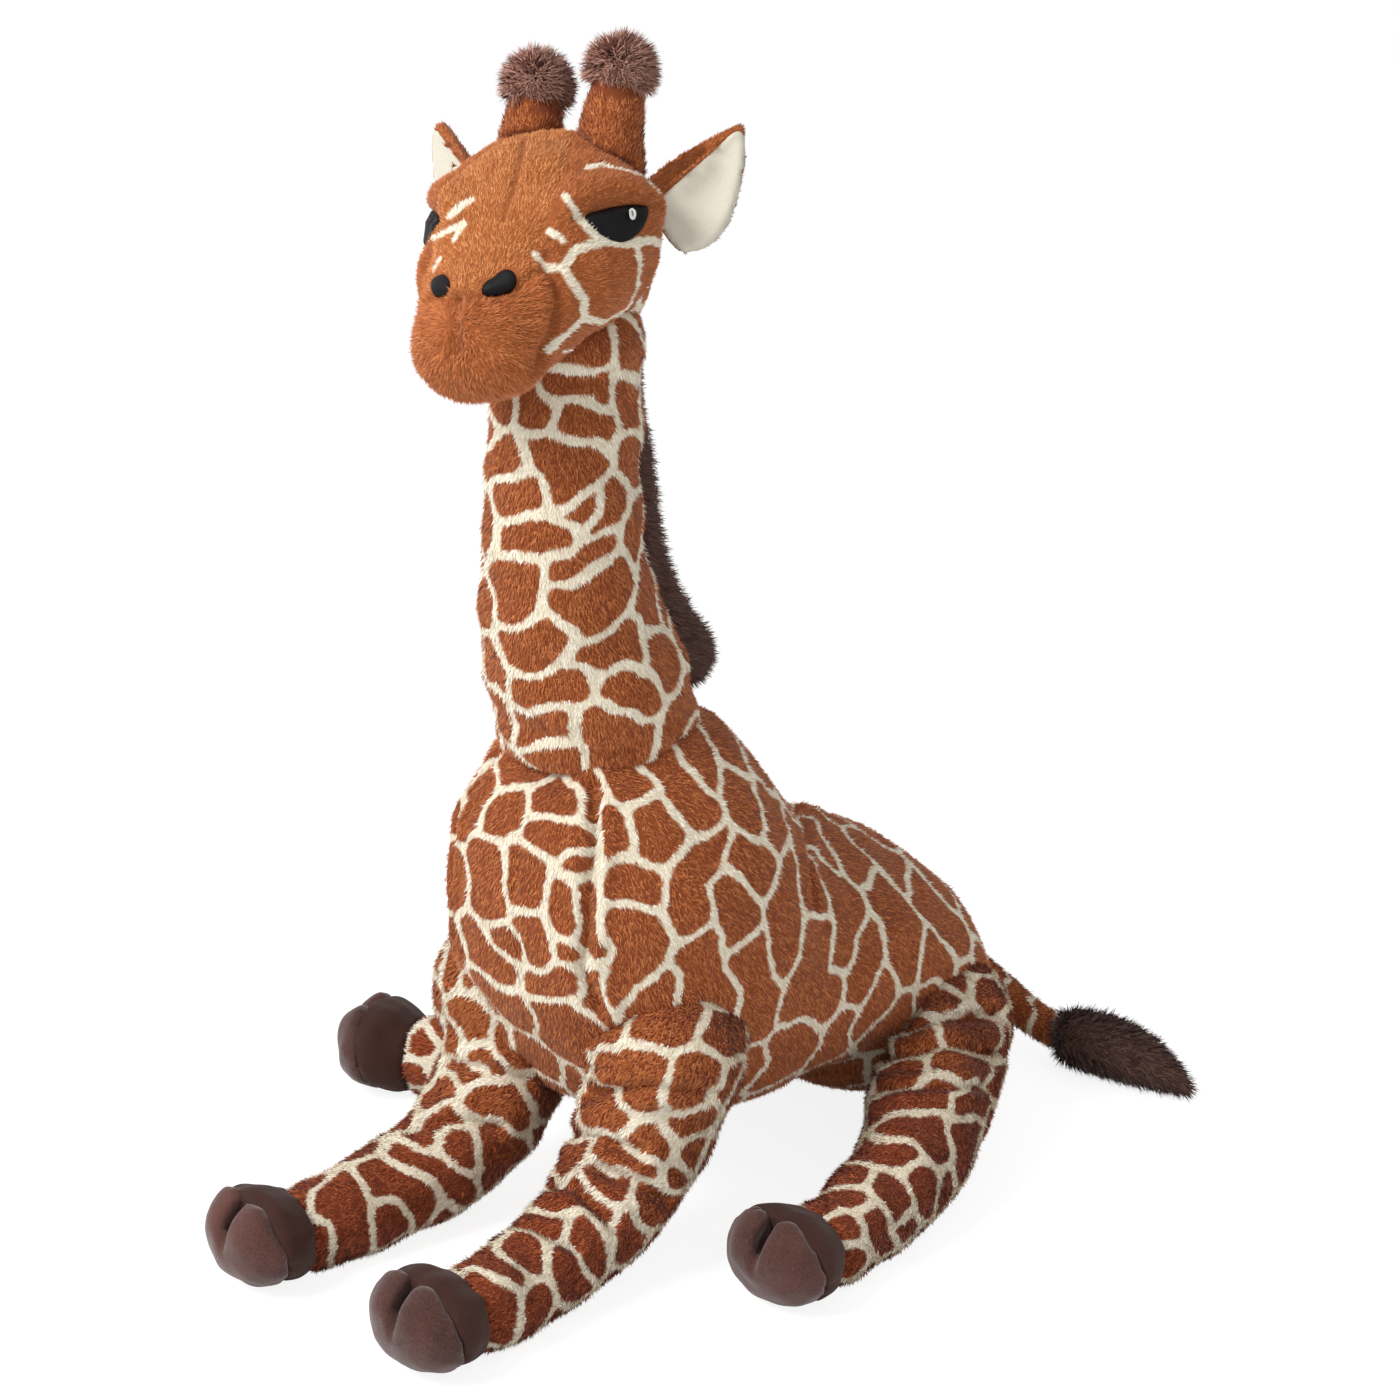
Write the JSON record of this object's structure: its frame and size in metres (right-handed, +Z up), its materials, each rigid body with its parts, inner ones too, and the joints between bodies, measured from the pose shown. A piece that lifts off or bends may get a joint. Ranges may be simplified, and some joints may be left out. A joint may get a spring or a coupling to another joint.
{
  "type": "plush giraffe",
  "caption": "Soft toy giraffe that lies propped on its front legs, with a long neck, patched short pile, dark hooves, a strip mane and a tufted tail.",
  "frame": {"origin": "under the middle of the bounding box, on the plane the toy rests on", "axes": "+Z up, the toy faces -Y and its left side is +X"},
  "size_m": [0.4516, 0.6136, 0.7137],
  "materials": {
    "coat": "short plush pile, brown patches on a cream ground",
    "face": "short plush pile, plain caramel brown",
    "long_pile": "long dark brown pile",
    "horn_pile": "fluffy grey brown pile",
    "ear_lining": "off-white brushed fabric",
    "black_embroidery": "black satin stitch",
    "white_embroidery": "white stitch",
    "hoof_wrap": "dark brown brushed fabric",
    "hoof_sole": "dark brown velour"
  },
  "bodies": {
    "torso": {"torso": "coat"},
    "neck": {"neck": "coat", "mane": "long_pile"},
    "head": {"head": "coat", "muzzle": "face", "horn_left": "coat", "horn_tuft_left": "horn_pile", "eye_left": "black_embroidery", "eye_glint_left": "white_embroidery", "nostril_left": "black_embroidery", "horn_right": "coat", "horn_tuft_right": "horn_pile", "eye_right": "black_embroidery", "eye_glint_right": "white_embroidery", "nostril_right": "black_embroidery"},
    "ear_left": {"ear_left": "coat", "ear_lining_left": "ear_lining"},
    "ear_right": {"ear_right": "coat", "ear_lining_right": "ear_lining"},
    "leg_front_left": {"leg_front_left": "coat", "hoof_wrap_front_left": "hoof_wrap", "hoof_sole_front_left": "hoof_sole"},
    "leg_front_right": {"leg_front_right": "coat", "hoof_wrap_front_right": "hoof_wrap", "hoof_sole_front_right": "hoof_sole"},
    "leg_hind_left": {"leg_hind_left": "coat", "hoof_wrap_hind_left": "hoof_wrap", "hoof_sole_hind_left": "hoof_sole"},
    "leg_hind_right": {"leg_hind_right": "coat", "hoof_wrap_hind_right": "hoof_wrap", "hoof_sole_hind_right": "hoof_sole"},
    "tail": {"tail": "coat", "tail_tuft": "long_pile"}
  },
  "joints": [
    {"name": "neck_nod", "type": "hinge", "parent": "torso", "child": "neck", "pos_m": [0.02818, -0.07157, 0.316], "axis": [1, 0, 0], "range_deg": [-8, 8]},
    {"name": "head_nod", "type": "hinge", "parent": "neck", "child": "head", "pos_m": [0.03218, -0.09676, 0.545], "axis": [0.965, 0.2406, 0.1045], "range_deg": [-10, 10]},
    {"name": "ear_left_flap", "type": "hinge", "parent": "head", "child": "ear_left", "pos_m": [0.07083, -0.07476, 0.61586], "axis": [-0.1014, -0.0253, 0.9945], "range_deg": [-12, 12]},
    {"name": "ear_right_flap", "type": "hinge", "parent": "head", "child": "ear_right", "pos_m": [-0.02567, -0.09882, 0.60541], "axis": [-0.1014, -0.0253, 0.9945], "range_deg": [-12, 12]},
    {"name": "shoulder_left_swing", "type": "hinge", "parent": "torso", "child": "leg_front_left", "pos_m": [0.08818, -0.08457, 0.122], "axis": [1, 0, 0], "range_deg": [-15, 12]},
    {"name": "shoulder_right_swing", "type": "hinge", "parent": "torso", "child": "leg_front_right", "pos_m": [-0.03182, -0.08457, 0.122], "axis": [1, 0, 0], "range_deg": [-15, 12]},
    {"name": "hip_left_swing", "type": "hinge", "parent": "torso", "child": "leg_hind_left", "pos_m": [0.10618, 0.15343, 0.066], "axis": [1, 0, 0], "range_deg": [-20, 8]},
    {"name": "hip_right_swing", "type": "hinge", "parent": "torso", "child": "leg_hind_right", "pos_m": [-0.04982, 0.15343, 0.066], "axis": [1, 0, 0], "range_deg": [-20, 8]},
    {"name": "tail_swing", "type": "hinge", "parent": "torso", "child": "tail", "pos_m": [0.02818, 0.23343, 0.084], "axis": [0, 0, 1], "range_deg": [-15, 15]}
  ]
}
